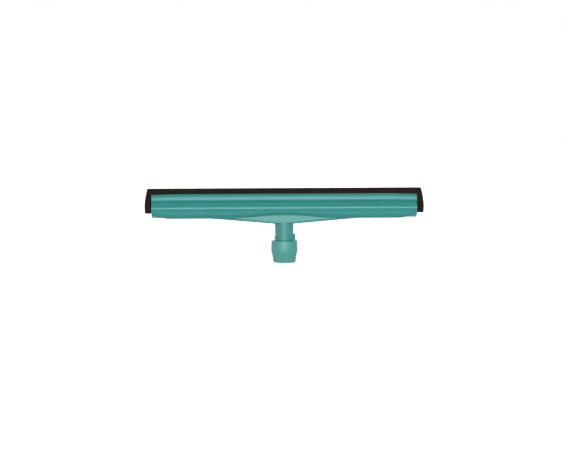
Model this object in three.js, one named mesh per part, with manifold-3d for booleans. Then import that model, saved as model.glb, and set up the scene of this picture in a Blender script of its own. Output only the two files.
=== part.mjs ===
// Squeegee head for wet floors and large panes, standing on its handle nut with the blade up.
// X runs along the blade, Z from the handle to the blade, and the front is at -Y. Millimetres.
// A moulded carrier has a flange, a web and a threaded handle neck. Two cover shells are screwed
// together through the web and pinch a strip of foam rubber on each side of it. A fluted nut on
// the neck squeezes a split ring round the handle.

import * as THREE from "three";
import { mergeVertices } from "three/addons/utils/BufferGeometryUtils.js";
import Module from "manifold-3d";

const wasm = await Module();
wasm.setup();

// Gaps between neighbours, and how far a cutting tool passes the face that it cuts
const fitGap = 0.3;
const bossGap = 0.4;
const cutOverrun = 1;
const weldTolerance = 0.0001;

// Facets of round forms
const roundFacets = 32;
const bossFacets = 16;
const screwFacets = 12;
const holeSegments = 8;
const helixFacets = 20;

// Handle, and the neck that takes it
const handleDiameter = 24;
const handleDepth = 60;
const neckWall = 2.5;
const neckSwell = 0.25;
const neckShowing = 27.3;
const neckChamfer = 0.8;

// Coarse right-hand thread on the neck
const threadPitch = 6;
const threadDepth = 2;
const threadRootWidth = 3.6;
const threadCrestWidth = 1.8;
const threadRadialGap = 0.5;
const threadFlankGap = 0.7;
const threadRootSink = 0.5;
const threadLead = 0.8;
const threadShowing = 3.65;
const threadTaperSteps = 16;
const threadEndTurnShare = 0.54;

// Stop lug that halts the nut
const lugReach = 2.8;
const lugWidth = 5.5;
const lugHeight = 9.9;
const lugBevel = 0.9;

// Fluted nut
const nutHeight = 35.9;
const nutRadius = 21.35;
const nutShoulder = 1.2;
const nutFloor = 3.2;
const nutMouthGap = 0.6;
const nutRelief = 2.3;
const fluteCount = 30;
const fluteFacets = 4;
const fluteDepth = 0.8;
const barrelFluteDepth = 0.35;

// Nut outline from its mouth to its rim, as shares of the rim's height and of the largest radius
const nutOutlineShares = [
  [0, 0.815],
  [0.048, 0.848],
  [0.167, 0.873],
  [0.355, 0.93],
  [0.447, 0.968],
  [0.574, 0.995],
  [0.93, 0.995],
  [1, 0.98],
];
const fluteFullShare = 0.38;
const fluteFaintShare = 0.57;
const fluteEndShare = 0.93;

// Split clamp ring inside the nut
const ringHeight = 11.3;
const ringWall = 1.3;
const ringTaper = 2.4;
const ringGap = 0.35;
const ringSlot = 2.5;
const ringFingers = 8;
const ringSlotShare = 0.7;

// Carrier: flange under the rubber, and the hub that spreads the neck into it
const frameCornerCut = 0.6;
const hubRise = 10.4;
const hubHalfFlat = 14;
const hubHalfLength = 135;
const hubHalfWidth = 15.9;
const hubEdgeRadius = 3.2;
const hubEdgeFacets = 3;
const hubFacetDrop = 2;
const flangeHeight = 6.3;
const flangeHalfWidth = 12.6;
const flangeEdgeRadius = 1;
const flangeDraft = 0.1;
const flangeFloor = 3;
const hubWall = 2.4;
const coreRib = 2;
const coresPerSide = 8;
const coreClearance = 5;
const coreDraft = 0.3;

// Web between the rubber strips
const webThickness = 2.6;
const webHeight = 29.5;
const webInset = 1.2;

// Foam rubber strips. Their ends swell where the frame squeezes them.
const bladeThickness = 8;
const bladeHeight = 39.6;
const bladeSpread = 450;
const bladeTipTuck = 4.85;
const bladeTipPower = 1.75;
const bladeEndShowing = 11.8;
const bladeFullShare = 0.24;
const bladeBaseTuck = 0.6;
const bladeCornerRadius = 1.2;
const bladeEndFacets = 8;

// Cover shells
const coverSkirt = 1.2;
const coverHeight = 39.2;
const coverDepth = 9.1;
const coverHubRise = 5.4;
const coverHubHalfLength = 118;
const coverEndRise = 6;
const coverEndRun = 30;
const coverEndPower = 1.3;
const coverFlexShare = 0.27;
const lowRollFacets = 13;
const highRollFacets = 9;
const coverHubStations = 12;
const coverEndStations = 4;

// Outside of a cover from its lower edge to its lip, as shares of its height and depth. A low and
// a high roll meet in a sharp valley.
const coverValleyShare = 0.653;
const coverValleyDepthShare = 0.352;
const lowRollShares = [
  [0, 0.44],
  [0.05, 0.68],
  [0.15, 0.85],
  [0.27, 0.905],
  [0.37, 0.985],
  [0.415, 1],
  [0.466, 0.954],
  [0.504, 0.843],
  [coverValleyShare, coverValleyDepthShare],
];
const highRollShares = [
  [coverValleyShare, coverValleyDepthShare],
  [0.715, 0.53],
  [0.776, 0.58],
  [0.827, 0.558],
  [0.878, 0.489],
  [0.929, 0.364],
  [0.98, 0.16],
  [1, 0.06],
];

// Inside of a cover from its lip down to the flange, with the rib that presses the rubber
const coverInsideShares = [
  [0.985, 0],
  [0.6, 0],
  [0.56, 0.3],
  [0.485, 0.62],
  [0.43, 0.7],
  [0.425, 0],
  [0.385, 0],
  [0.38, 0.655],
  [0.28, 0.6],
  [0.19, 0.575],
];

// Screws, and the bosses that they draw together
const screwCount = 6;
const screwEndDistance = 26.7;
const screwRadius = 1.9;
const screwLength = 18.6;
const screwTip = 1.6;
const screwHeadRadius = 3.7;
const screwHeadHeight = 2.2;
const screwHeadDome = 0.7;
const screwSeatInset = 2.5;
const screwCross = 1;
const screwCrossDepth = 1.2;
const screwCrossShare = 0.66;
const bossRadius = 4;
const pilotFloor = 0.5;

// Places that follow from the sizes
const halfBlade = bladeSpread / 2;
const halfFrame = halfBlade - bladeEndShowing;
const screwSpacing = (2 * (halfFrame - screwEndDistance)) / (screwCount - 1);
const handleRadius = handleDiameter / 2;
const boreRadius = handleRadius + fitGap;
const neckRadius = boreRadius + neckWall;
const threadRadius = neckRadius + threadDepth;
const nutMinorRadius = neckRadius + threadRadialGap;
const nutMajorRadius = threadRadius + threadRadialGap;
const rimZ = nutHeight - nutShoulder;
const ringBottomZ = nutFloor + fitGap;
const ringTopZ = ringBottomZ + ringHeight;
const neckBottomZ = ringTopZ + fitGap;
const hubBottomZ = nutHeight + neckShowing;
const flangeBottomZ = hubBottomZ + hubRise;
const flangeTopZ = flangeBottomZ + flangeHeight;
const lugTopZ = nutHeight + lugHeight;
const threadTopZ = nutHeight + threadShowing;
const threadRightZ = threadTopZ - threadEndTurnShare * threadPitch;
const threadBottomZ = neckBottomZ + threadRootWidth / 2 + threadLead;
const halfWeb = webThickness / 2;
const bladeNear = halfWeb + fitGap;
const bladeFar = bladeNear + bladeThickness;
const bladeBaseZ = flangeTopZ + fitGap;
const coverNear = bladeFar + fitGap;
const coverBottomZ = flangeBottomZ - coverSkirt;
const coverLipZ = coverBottomZ + coverHeight;
const coverFlexZ = coverBottomZ + coverFlexShare * coverHeight;
const valleyDepth = coverNear + coverValleyDepthShare * coverDepth;
const screwZ = coverBottomZ + coverValleyShare * coverHeight;
const screwSeat = valleyDepth - screwSeatInset;

// Solids from three.js geometry, and back

// A watertight solid with its faces pointing out.
function solidOf(geometry) {
  const bare = geometry.clone();
  bare.deleteAttribute("normal");
  bare.deleteAttribute("uv");
  const welded = mergeVertices(bare, weldTolerance);
  const corners = welded.index.array;
  const kept = [];
  for (let i = 0; i < corners.length; i += 3) {
    const face = [corners[i], corners[i + 1], corners[i + 2]];
    if (new Set(face).size === face.length) kept.push(...face);
  }
  const build = (order) =>
    new wasm.Manifold(
      new wasm.Mesh({
        numProp: 3,
        vertProperties: welded.getAttribute("position").array,
        triVerts: new Uint32Array(order),
      }),
    );
  const solid = build(kept);
  return solid.volume() > 0 ? solid : build(kept.reverse());
}

// A named mesh from a solid.
function meshOf(name, solid, material) {
  const { vertProperties, triVerts } = solid.getMesh();
  const geometry = new THREE.BufferGeometry();
  geometry.setAttribute("position", new THREE.BufferAttribute(vertProperties, 3));
  geometry.setIndex(new THREE.BufferAttribute(triVerts, 1));
  geometry.computeVertexNormals();
  const mesh = new THREE.Mesh(geometry, material);
  mesh.name = name;
  return mesh;
}

// Triangles that close one flat row of points, turning the way the row does.
function capOf(row) {
  const normal = new THREE.Vector3();
  row.forEach((p, i) => {
    const q = row[(i + 1) % row.length];
    normal.x += (p.y - q.y) * (p.z + q.z);
    normal.y += (p.z - q.z) * (p.x + q.x);
    normal.z += (p.x - q.x) * (p.y + q.y);
  });
  const across = row[1].clone().sub(row[0]).projectOnPlane(normal).normalize();
  const up = normal.clone().normalize().cross(across);
  const flat = row.map((p) => new THREE.Vector2(p.dot(across), p.dot(up)));
  return THREE.ShapeUtils.triangulateShape(flat, []).map(([a, b, c]) => {
    const turn = THREE.ShapeUtils.area([flat[a], flat[b], flat[c]]);
    return turn > 0 ? [a, b, c] : [a, c, b];
  });
}

// A closed skin over rows of points that all hold the same number.
function loft(rows) {
  const count = rows[0].length;
  const index = [];
  for (let row = 0; row + 1 < rows.length; row += 1) {
    for (let i = 0; i < count; i += 1) {
      const a = row * count + i;
      const b = row * count + ((i + 1) % count);
      index.push(a, b, b + count, a, b + count, a + count);
    }
  }
  const last = (rows.length - 1) * count;
  capOf(rows[0]).forEach(([a, b, c]) => index.push(a, c, b));
  capOf(rows[rows.length - 1]).forEach(([a, b, c]) => index.push(last + a, last + b, last + c));
  const geometry = new THREE.BufferGeometry().setFromPoints(rows.flat());
  geometry.setIndex(index);
  return solidOf(geometry);
}

// A solid of revolution about Z from [radius, height] pairs that start and end on the axis,
// or that close on themselves.
function turned(profile, facets = roundFacets) {
  const points = profile.map(([radius, height]) => new THREE.Vector2(radius, height));
  return solidOf(new THREE.LatheGeometry(points, facets).rotateX(Math.PI / 2));
}

// A rod along Y between two depths, standing at one place of the frame.
function rod(radius, fromY, toY, x, z) {
  const geometry = new THREE.CylinderGeometry(radius, radius, toY - fromY, bossFacets);
  return solidOf(geometry.translate(x, (fromY + toY) / 2, z));
}

// A block between two opposite corners.
function block(low, high) {
  const size = high.map((value, i) => value - low[i]);
  const geometry = new THREE.BoxGeometry(...size);
  return solidOf(geometry.translate(...low.map((value, i) => value + size[i] / 2)));
}

// One trapezoid carried up a right-hand helix that passes the +X side at the thread's height there.
// The pairs are the radius and half width of its root and its crest, and a tapered ridge grows
// from nothing over its first steps.
function helix(sides, fromZ, toZ, tapers) {
  const steps = Math.ceil(((toZ - fromZ) / threadPitch) * helixFacets);
  const [root, crest] = sides;
  const rows = [];
  for (let step = 0; step <= steps; step += 1) {
    const z = fromZ + ((toZ - fromZ) * step) / steps;
    const angle = ((z - threadRightZ) / threadPitch) * 2 * Math.PI;
    const grown = tapers ? Math.min(1, (step + 1) / threadTaperSteps) : 1;
    const reach = root[0] + (crest[0] - root[0]) * grown;
    const point = (radius, height) =>
      new THREE.Vector3(radius * Math.cos(angle), radius * Math.sin(angle), height);
    rows.push([
      point(root[0], z - root[1]),
      point(reach, z - crest[1]),
      point(reach, z + crest[1]),
      point(root[0], z + root[1]),
    ]);
  }
  return loft(rows);
}

const screwPlaces = Array.from(
  { length: screwCount },
  (_, i) => (i - (screwCount - 1) / 2) * screwSpacing,
);

// Stations along X, even over the hub and closer again at each end.
function stationsAlong(hubHalf, hubSteps, endRun, endSteps, half) {
  const stations = [];
  for (let i = 0; i <= endSteps; i += 1) stations.push(-half + (endRun * i) / endSteps);
  for (let i = 0; i <= hubSteps; i += 1) stations.push(hubHalf * ((2 * i) / hubSteps - 1));
  for (let i = endSteps; i >= 0; i -= 1) stations.push(half - (endRun * i) / endSteps);
  return stations;
}

// How far a frame piece's end is drawn in at its lower corner.
function cornerCut(x, z, half) {
  if (Math.abs(x) < half) return 0;
  const drop = Math.max(0, (bladeBaseZ - z) / (bladeBaseZ - coverBottomZ));
  return -Math.sign(x) * frameCornerCut * drop ** 2;
}

// Carrier

// How much of the hub's full form a station has: all of it at the neck, none past its ends.
function hubShare(x) {
  const run = (Math.abs(x) - hubHalfFlat) / (hubHalfLength - hubHalfFlat);
  return 1 - Math.min(1, Math.max(0, run));
}

// Section of the flange and hub, grown by a gap where it is used to cut a cover.
function carrierRow(x, grow) {
  const share = hubShare(x);
  const radius = flangeEdgeRadius + (hubEdgeRadius - flangeEdgeRadius) * share;
  const width = flangeHalfWidth + (hubHalfWidth - flangeHalfWidth) * share + grow;
  const bottom = flangeBottomZ - hubRise * share - grow;
  const half = flangeHalfWidth + grow;
  const front = [];
  for (let i = 0; i <= hubEdgeFacets; i += 1) {
    const turn = (Math.PI / 2) * (i / hubEdgeFacets);
    front.push([width - radius + radius * Math.sin(turn), bottom + radius - radius * Math.cos(turn)]);
  }
  front.push([half, flangeTopZ - hubFacetDrop]);
  front.push([half - flangeDraft, flangeTopZ + grow]);
  const back = front.map(([y, z]) => [-y, z]).reverse();
  return [...front, ...back].map(
    ([y, z]) => new THREE.Vector3(x + cornerCut(x, z, halfFrame), y, z),
  );
}

function carrierBody(grow) {
  const reach = halfFrame + grow;
  const xs = [-reach, -halfFrame + frameCornerCut, -hubHalfLength, -hubHalfFlat];
  const stations = [...xs, ...xs.map((x) => -x).reverse()];
  return loft(stations.map((x) => carrierRow(x, grow)));
}

// Hollows that the mould leaves under the flange, with a rib between each two.
function carrierCores() {
  const from = neckRadius + coreClearance;
  const pitch = (halfFrame - from - hubWall) / coresPerSide;
  const ceiling = flangeTopZ - flangeFloor;
  const cores = [];
  for (const side of [-1, 1]) {
    for (let i = 0; i < coresPerSide; i += 1) {
      const ends = [from + pitch * i, from + pitch * (i + 1) - coreRib];
      const rows = ends.map((x) => {
        const share = hubShare(x);
        const bottom = flangeBottomZ - hubRise * share - cutOverrun;
        const wide = flangeHalfWidth + (hubHalfWidth - flangeHalfWidth) * share - hubWall;
        const low = wide - hubEdgeRadius * share;
        const high = flangeHalfWidth - hubWall - coreDraft;
        const corner = (y, z) => new THREE.Vector3(side * x, y, z);
        return [
          corner(low, bottom),
          corner(high, ceiling),
          corner(-high, ceiling),
          corner(-low, bottom),
        ];
      });
      cores.push(loft(side > 0 ? rows : rows.reverse()));
    }
  }
  return cores;
}

// The neck ends inside the solid middle of the hub, clear of its sloping faces.
function carrierNeck() {
  const top = (hubBottomZ + flangeBottomZ) / 2;
  return turned([
    [0, neckBottomZ],
    [neckRadius - neckChamfer, neckBottomZ],
    [neckRadius, neckBottomZ + neckChamfer],
    [neckRadius, lugTopZ],
    [neckRadius + neckSwell, hubBottomZ],
    [neckRadius + neckSwell, top],
    [0, top],
  ]);
}

function neckThread() {
  return helix(
    [
      [neckRadius - threadRootSink, threadRootWidth / 2],
      [threadRadius, threadCrestWidth / 2],
    ],
    threadBottomZ,
    threadTopZ,
    true,
  );
}

// The lug's foot follows the nut's sloping shoulder, one gap above it.
function stopLug() {
  const reach = neckRadius + lugReach;
  const profile = new THREE.Shape([
    new THREE.Vector2(boreRadius + neckWall / 2, rimZ),
    new THREE.Vector2(reach, rimZ),
    new THREE.Vector2(reach, lugTopZ - lugBevel),
    new THREE.Vector2(reach - lugBevel, lugTopZ),
    new THREE.Vector2(boreRadius + neckWall / 2, lugTopZ),
  ]);
  const plain = new THREE.ExtrudeGeometry(profile, { depth: lugWidth, bevelEnabled: false });
  plain.translate(0, 0, -lugWidth / 2);
  plain.rotateX(Math.PI / 2);
  const slope = nutShoulder / (nutRadius - nutMinorRadius);
  const wide = nutRadius + cutOverrun;
  const shoulder = turned([
    [0, rimZ - cutOverrun],
    [wide, rimZ - cutOverrun],
    [wide, rimZ + fitGap - slope * cutOverrun],
    [nutMinorRadius, nutHeight + fitGap],
    [0, nutHeight + fitGap],
  ]);
  return solidOf(plain).subtract(shoulder);
}

function handleBore() {
  return turned([
    [0, neckBottomZ - cutOverrun],
    [boreRadius, neckBottomZ - cutOverrun],
    [boreRadius, handleDepth],
    [0, handleDepth],
  ]);
}

function webPlate() {
  const reach = halfFrame - webInset;
  return block(
    [-reach, -halfWeb, flangeTopZ - flangeFloor / 2],
    [reach, halfWeb, flangeTopZ + webHeight],
  );
}

function carrierSolid() {
  let solid = carrierBody(0).add(webPlate());
  for (const core of carrierCores()) solid = solid.subtract(core);
  solid = solid.add(carrierNeck()).add(neckThread()).add(stopLug());
  solid = solid.subtract(handleBore());
  const clear = bossRadius + bossGap;
  for (const x of screwPlaces) {
    solid = solid.subtract(rod(clear, -halfWeb - cutOverrun, halfWeb + cutOverrun, x, screwZ));
  }
  return solid;
}

// Covers

// How far a cover's lower edge stands above its lowest run: over the hub, and at both ends.
function coverEdgeRise(x) {
  const overHub = Math.abs(x) / coverHubHalfLength;
  const arch = overHub < 1 ? Math.cos((overHub * Math.PI) / 2) ** 2 : 0;
  const pastRun = Math.max(0, (Math.abs(x) - (halfFrame - coverEndRun)) / coverEndRun);
  return coverHubRise * arch + coverEndRise * Math.min(1, pastRun) ** coverEndPower;
}

// One roll of a cover's outside, from its lower end to its upper.
function rollOutline(shares, facets) {
  const points = shares.map(([height, depth]) => new THREE.Vector2(depth, height));
  return new THREE.SplineCurve(points).getPoints(facets);
}

const coverOutline = [
  ...rollOutline(lowRollShares, lowRollFacets),
  ...rollOutline(highRollShares, highRollFacets).slice(1),
];

// Section of a cover on one side of the web; its lower part is squeezed up as its edge rises.
function coverRow(x, side) {
  const edge = coverBottomZ + coverEdgeRise(x);
  const seat = flangeHalfWidth + fitGap;
  const place = (height, depth) => [coverNear + depth * coverDepth, coverBottomZ + height * coverHeight];
  const outside = coverOutline.map((p) => place(p.y, p.x));
  const inside = coverInsideShares.map(([height, depth]) => place(height, depth));
  inside.push([seat, flangeTopZ]);
  inside.push([seat, coverBottomZ]);
  const squeeze = (coverFlexZ - edge) / (coverFlexZ - coverBottomZ);
  return [...outside, ...inside].map(([depth, z]) => {
    const lifted = z < coverFlexZ ? edge + (z - coverBottomZ) * squeeze : z;
    return new THREE.Vector3(x + cornerCut(x, lifted, halfFrame), side * depth, lifted);
  });
}

function coverShell(side) {
  const stations = stationsAlong(
    coverHubHalfLength,
    coverHubStations,
    coverEndRun,
    coverEndStations,
    halfFrame,
  );
  return loft(stations.map((x) => coverRow(x, side))).subtract(carrierBody(fitGap));
}

// Blind bosses take the screws from behind.
function frontCoverSolid() {
  let solid = coverShell(-1);
  for (const x of screwPlaces) {
    solid = solid.add(rod(bossRadius, -screwSeat, -fitGap / 2, x, screwZ));
  }
  const bottom = screwSeat + fitGap - screwLength - pilotFloor;
  for (const x of screwPlaces) {
    solid = solid.subtract(rod(screwRadius + fitGap, bottom, cutOverrun, x, screwZ));
  }
  return solid;
}

// Through bosses are counterbored for the screw heads.
function rearCoverSolid() {
  let solid = coverShell(1);
  for (const x of screwPlaces) {
    solid = solid.add(rod(bossRadius, fitGap / 2, screwSeat, x, screwZ));
  }
  const outside = coverNear + coverDepth + cutOverrun;
  for (const x of screwPlaces) {
    solid = solid.subtract(rod(screwRadius + fitGap, -cutOverrun, outside, x, screwZ));
    solid = solid.subtract(rod(screwHeadRadius + fitGap, screwSeat, outside, x, screwZ));
  }
  return solid;
}

// A pan-head screw with a cross slot, its shank towards the front.
function screwSolid(x) {
  const seat = screwSeat + fitGap;
  const head = seat + screwHeadHeight;
  const profile = [
    [0, seat - screwLength],
    [screwRadius / 2, seat - screwLength],
    [screwRadius, seat - screwLength + screwTip],
    [screwRadius, seat],
    [screwHeadRadius, seat],
    [screwHeadRadius, head - screwHeadDome],
    [screwHeadRadius - screwHeadDome, head],
    [0, head],
  ];
  const half = screwCross / 2;
  const arm = screwHeadRadius * screwCrossShare;
  const floor = head - screwCrossDepth;
  const top = head + cutOverrun;
  const cross = block([-arm, -half, floor], [arm, half, top]).add(
    block([-half, -arm, floor], [half, arm, top]),
  );
  const upright = turned(profile, screwFacets).subtract(cross);
  return upright.rotate([-90, 0, 0]).translate([x, 0, screwZ]);
}

// Foam rubber strips

// Side outline of a strip: straight cut tip, swollen ends, and holes for the bosses.
function bladeShape() {
  const full = bladeHeight * bladeFullShare;
  const end = [
    [halfBlade - bladeBaseTuck - bladeCornerRadius, 0],
    [halfBlade - bladeBaseTuck, bladeCornerRadius],
    [halfBlade, full],
  ];
  for (let i = 1; i <= bladeEndFacets; i += 1) {
    const share = i / bladeEndFacets;
    end.push([halfBlade - bladeTipTuck * share ** bladeTipPower, full + (bladeHeight - full) * share]);
  }
  const outline = [...end, ...end.map(([x, z]) => [-x, z]).reverse()];
  const shape = new THREE.Shape(outline.map(([x, z]) => new THREE.Vector2(x, z)));
  for (const x of screwPlaces) {
    const hole = new THREE.Path();
    hole.absarc(x, screwZ - bladeBaseZ, bossRadius + bossGap, 0, 2 * Math.PI);
    shape.holes.push(hole);
  }
  return shape;
}

function bladeSolid(side) {
  const options = { depth: bladeThickness, bevelEnabled: false, curveSegments: holeSegments };
  const strip = new THREE.ExtrudeGeometry(bladeShape(), options).rotateX(Math.PI / 2);
  return solidOf(strip.translate(0, side > 0 ? bladeFar : -bladeNear, bladeBaseZ));
}

// Nut and clamp ring

// One ring of points round the nut. The flutes are deep on the waist and faint on the barrel.
function nutRow(heightShare, radiusShare) {
  const fade = THREE.MathUtils.smoothstep(heightShare, fluteFullShare, fluteFaintShare);
  const end = 1 - THREE.MathUtils.smoothstep(heightShare, fluteEndShare, 1);
  const depth = (fluteDepth + (barrelFluteDepth - fluteDepth) * fade) * end;
  const count = fluteCount * fluteFacets;
  const row = [];
  for (let i = 0; i < count; i += 1) {
    const angle = (2 * Math.PI * i) / count;
    const groove = (1 - Math.cos(angle * fluteCount)) / 2;
    const radius = nutRadius * radiusShare - depth * groove;
    row.push(new THREE.Vector3(radius * Math.cos(angle), radius * Math.sin(angle), rimZ * heightShare));
  }
  return row;
}

function nutBody() {
  const rows = nutOutlineShares.map(([height, radius]) => nutRow(height, radius));
  const count = fluteCount * fluteFacets;
  const rim = [];
  for (let i = 0; i < count; i += 1) {
    const angle = (2 * Math.PI * i) / count;
    rim.push(new THREE.Vector3(neckRadius * Math.cos(angle), neckRadius * Math.sin(angle), nutHeight));
  }
  rows.push(rim);
  return loft(rows);
}

// Mouth, taper that squeezes the ring, thread relief and thread bore, in one turned cutter.
function nutBore() {
  const mouth = handleRadius + nutMouthGap;
  const taperLow = boreRadius + ringWall + ringGap;
  const taperHigh = taperLow + ringTaper;
  const reliefZ = neckBottomZ + nutRelief;
  const chamfer = nutMajorRadius - nutMinorRadius;
  return turned([
    [0, -cutOverrun],
    [mouth, -cutOverrun],
    [mouth, nutFloor],
    [taperLow, nutFloor],
    [taperHigh, ringTopZ],
    [nutMajorRadius, neckBottomZ],
    [nutMajorRadius, reliefZ],
    [nutMinorRadius, reliefZ + chamfer],
    [nutMinorRadius, nutHeight + cutOverrun],
    [0, nutHeight + cutOverrun],
  ]);
}

// Groove for the neck's ridge, wider and deeper than it by the thread gaps.
function nutGroove() {
  return helix(
    [
      [neckRadius, threadRootWidth / 2 + threadFlankGap],
      [nutMajorRadius, threadCrestWidth / 2 + threadFlankGap],
    ],
    neckBottomZ + nutRelief - threadRootWidth,
    nutHeight + threadRootWidth,
    false,
  );
}

function nutSolid() {
  return nutBody().subtract(nutBore()).subtract(nutGroove());
}

// The ring is split at the back, and slots from its mouth side part it into fingers.
function ringSolid() {
  const low = boreRadius + ringWall;
  const high = low + ringTaper;
  let solid = turned([
    [boreRadius, ringBottomZ],
    [low, ringBottomZ],
    [high, ringTopZ],
    [boreRadius, ringTopZ],
    [boreRadius, ringBottomZ],
  ]);
  const reach = high + cutOverrun;
  for (let i = 0; i < ringFingers; i += 1) {
    const height = i === 0 ? ringHeight + cutOverrun : ringHeight * ringSlotShare;
    const slot = block([-ringSlot / 2, 0, -cutOverrun], [ringSlot / 2, reach, height]);
    const turn = (360 * i) / ringFingers;
    solid = solid.subtract(slot.rotate([0, 0, turn]).translate([0, 0, ringBottomZ]));
  }
  return solid;
}

// Finishes
const frameFinish = new THREE.MeshStandardMaterial({ color: 0x3d918a, roughness: 0.35, metalness: 0 });
const nutFinish = new THREE.MeshStandardMaterial({ color: 0x55a08e, roughness: 0.55, metalness: 0 });
const ringFinish = new THREE.MeshStandardMaterial({ color: 0xd8d9d2, roughness: 0.5, metalness: 0 });
const foamFinish = new THREE.MeshStandardMaterial({ color: 0x241c1b, roughness: 0.95, metalness: 0 });
const screwFinish = new THREE.MeshStandardMaterial({ color: 0xb9bcc0, roughness: 0.3, metalness: 1 });

// Assembly
const squeegee = new THREE.Group();
squeegee.name = "squeegee_head";
squeegee.add(meshOf("carrier", carrierSolid(), frameFinish));
squeegee.add(meshOf("front_cover", frontCoverSolid(), frameFinish));
squeegee.add(meshOf("rear_cover", rearCoverSolid(), frameFinish));
squeegee.add(meshOf("front_blade", bladeSolid(-1), foamFinish));
squeegee.add(meshOf("rear_blade", bladeSolid(1), foamFinish));
squeegee.add(meshOf("clamp_ring", ringSolid(), ringFinish));
squeegee.add(meshOf("lock_nut", nutSolid(), nutFinish));
screwPlaces.forEach((x, i) => {
  squeegee.add(meshOf(`cover_screw_${i + 1}`, screwSolid(x), screwFinish));
});

export default squeegee;
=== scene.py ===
"""Squeegee head on its nut, blade up: teal moulded frame, foam rubber strips, fluted clamp nut."""
import math

import bmesh
import bpy
import numpy as np
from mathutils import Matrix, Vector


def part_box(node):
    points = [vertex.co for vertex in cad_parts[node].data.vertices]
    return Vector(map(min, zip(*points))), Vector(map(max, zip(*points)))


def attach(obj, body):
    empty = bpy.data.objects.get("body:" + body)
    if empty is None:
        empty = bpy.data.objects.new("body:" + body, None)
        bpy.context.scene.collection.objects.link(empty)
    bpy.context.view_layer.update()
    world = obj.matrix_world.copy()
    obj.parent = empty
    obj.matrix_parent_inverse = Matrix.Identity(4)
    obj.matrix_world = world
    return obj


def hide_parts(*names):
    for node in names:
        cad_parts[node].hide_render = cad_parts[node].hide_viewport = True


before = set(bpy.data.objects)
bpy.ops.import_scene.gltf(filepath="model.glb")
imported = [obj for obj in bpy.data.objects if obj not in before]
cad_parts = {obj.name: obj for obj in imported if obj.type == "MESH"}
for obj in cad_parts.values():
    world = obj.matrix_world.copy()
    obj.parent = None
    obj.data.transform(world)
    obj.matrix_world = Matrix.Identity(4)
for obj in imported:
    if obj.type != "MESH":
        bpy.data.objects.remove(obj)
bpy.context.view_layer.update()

# Carrier
# One polypropylene moulding that carries everything: a flange under the rubber, a web between the
# strips, a flat delta-shaped hub cored out from below, and the neck with its coarse thread and the
# lug that stops the nut. Its mould was spark-eroded, so its faces are finely frosted.
MM = 0.001
WELD = 0.0000001
SMOOTH_EDGE = math.radians(32)
FIT_GAP = 0.3
OVERRUN = 1.0
SHARP = 0.01
RIM_STEPS = 4
CORNER_STEPS = 5
REPEATED = 0.001


def corners(node):
    """The two corners of a node of the frame, in millimetres."""
    return [np.array(corner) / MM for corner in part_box(node)]


carrier_low, carrier_high = corners("carrier")
strip_low, strip_high = corners("front_blade")
shell_low, shell_high = corners("front_cover")

HALF_FRAME = carrier_high[0]
CORNER_CUT = 0.6
CORNER_RUN = 8.0
HUB_RISE = 10.2
HUB_HALF_FLAT = 14.0
HUB_HALF_LENGTH = 137.0
HUB_HALF_WIDTH = 15.5
HUB_EDGE = 2.6
WING_EDGE = 2.3
HUB_SOFT_SHARE = 0.03
HUB_ARC_STEPS = 12
FACET_DROP = 2.0
FLANGE_TOP = strip_low[2] - FIT_GAP
FLANGE_HEIGHT = 6.6
FLANGE_BOTTOM = FLANGE_TOP - FLANGE_HEIGHT
FLANGE_HALF_WIDTH = 12.6
FLANGE_EDGE = 1.0
FLANGE_DRAFT = 0.1
FLANGE_FLOOR = 3.0
HUB_WALL = 2.4
HUB_BOTTOM = FLANGE_BOTTOM - HUB_RISE
HUB_STATIONS = 161
CARRIER_RIM = 0.4


def eased(points, setback):
    """Closed outline whose corners become parabolas that start and end a setback before and after
    the corner: (1 - s)^2 start + 2 s (1 - s) corner + s^2 end. Repeated points are dropped."""
    points = np.asarray(points, float)
    to_last = np.roll(points, 1, 0) - points
    to_next = np.roll(points, -1, 0) - points
    room = np.broadcast_to(setback, len(points))[:, None]
    start = points + to_last / np.linalg.norm(to_last, axis=1, keepdims=True) * room
    end = points + to_next / np.linalg.norm(to_next, axis=1, keepdims=True) * room
    s = np.linspace(0, 1, CORNER_STEPS + 1)[None, :, None]
    curve = (1 - s) ** 2 * start[:, None] + 2 * s * (1 - s) * points[:, None] + s**2 * end[:, None]
    curve = curve.reshape(-1, 2)
    step = np.linalg.norm(curve - np.roll(curve, 1, 0), axis=1)
    return curve[step > REPEATED]


def denser(points, spacing):
    """The same open line with points added, so that no two lie further apart than the spacing."""
    points = np.asarray(points, float)
    run = np.concatenate([[0], np.cumsum(np.linalg.norm(np.diff(points, axis=0), axis=1))])
    at = np.union1d(run, np.linspace(0, run[-1], int(run[-1] / spacing) + 1))
    return np.stack([np.interp(at, run, column) for column in points.T], -1)


def drawn_in(outlines, amount):
    """Each closed outline of an (outlines, points, 2) stack moved inwards along its own normals."""
    ahead = np.roll(outlines, -1, 1)
    along = ahead - np.roll(outlines, 1, 1)
    along = along / np.linalg.norm(along, axis=-1, keepdims=True)
    cross = outlines[..., 0] * ahead[..., 1] - outlines[..., 1] * ahead[..., 0]
    turning = np.sign(cross.sum(1))[:, None, None]
    inward = np.stack([-along[..., 1], along[..., 0]], -1) * turning
    return outlines + inward * np.asarray(amount)[:, None, None]


def with_rims(middle, low, high, edge):
    """Places from low to high that turn a quarter circle of radius edge at both ends, and how far
    the outline is drawn in at each: edge (1 - cos) where the place has moved on by edge sin."""
    turn = np.linspace(0, np.pi / 2, RIM_STEPS + 1)
    out = edge * np.sin(turn)
    drawn = edge * (1 - np.cos(turn))
    inner = middle[(middle > low + edge) & (middle < high - edge)]
    places = np.concatenate([(low + edge - out)[::-1], inner, high - edge + out])
    return places, np.concatenate([drawn[::-1], np.zeros(len(inner)), drawn])


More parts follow.
